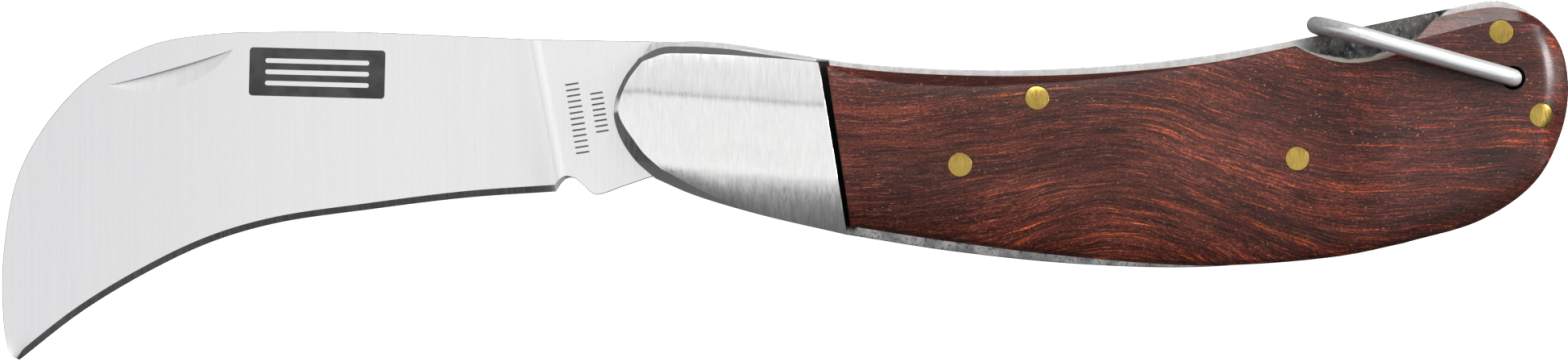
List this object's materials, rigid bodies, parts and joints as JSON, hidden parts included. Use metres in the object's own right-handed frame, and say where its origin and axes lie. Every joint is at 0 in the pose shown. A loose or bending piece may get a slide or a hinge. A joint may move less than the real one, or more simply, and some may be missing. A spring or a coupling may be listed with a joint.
{
  "type": "folding pruning knife",
  "caption": "Folding pruning knife with a hooked blade, a slip-joint backspring, steel bolsters, wooden scales and a wire bail.",
  "frame": {"origin": "on the resting plane, under the middle of the open knife's bounding box", "axes": "+X from the blade's tip to the butt, +Y to the spine and backspring, +Z out of the marked side, so the knife lies on its unmarked side with the blade open"},
  "size_m": [0.1816, 0.0418, 0.016],
  "materials": {
    "blade_steel": "satin, ground lengthwise faces, dark etched mark",
    "bolster_steel": "satin brushed",
    "liner_steel": "dull, lightly pitted",
    "spring_steel": "dull with a ground edge",
    "wire_steel": "drawn wire, polished",
    "pin_steel": "plain",
    "brass": "peened and ground flush",
    "hardwood": "oiled red-brown wood with orange and dark streaks"
  },
  "bodies": {
    "handle": {"front_liner": "liner_steel", "back_liner": "liner_steel", "backspring": "spring_steel", "front_bolster": "bolster_steel", "back_bolster": "bolster_steel", "front_scale": "hardwood", "back_scale": "hardwood", "pivot_pin": "pin_steel", "spring_pin": "brass", "butt_pin_upper": "brass", "butt_pin_lower": "brass", "front_scale_rivet_fore": "brass", "front_scale_rivet_aft": "brass", "back_scale_rivet_fore": "brass", "back_scale_rivet_aft": "brass", "front_bolster_rivet_upper": "pin_steel", "front_bolster_rivet_lower": "pin_steel", "back_bolster_rivet_upper": "pin_steel", "back_bolster_rivet_lower": "pin_steel"},
    "blade": {"blade": "blade_steel"},
    "bail": {"bail": "wire_steel"}
  },
  "joints": [
    {"name": "blade_fold", "type": "hinge", "parent": "handle", "child": "blade", "pos_m": [-0.01082, 0.00808, 0.008], "axis": [0, 0, 1], "range_deg": [0, 155], "deforming": ["backspring"]},
    {"name": "bail_swing", "type": "hinge", "parent": "handle", "child": "bail", "pos_m": [0.08423, 0.01191, 0.008], "axis": [0, 0, -1], "range_deg": [0, 280]}
  ]
}
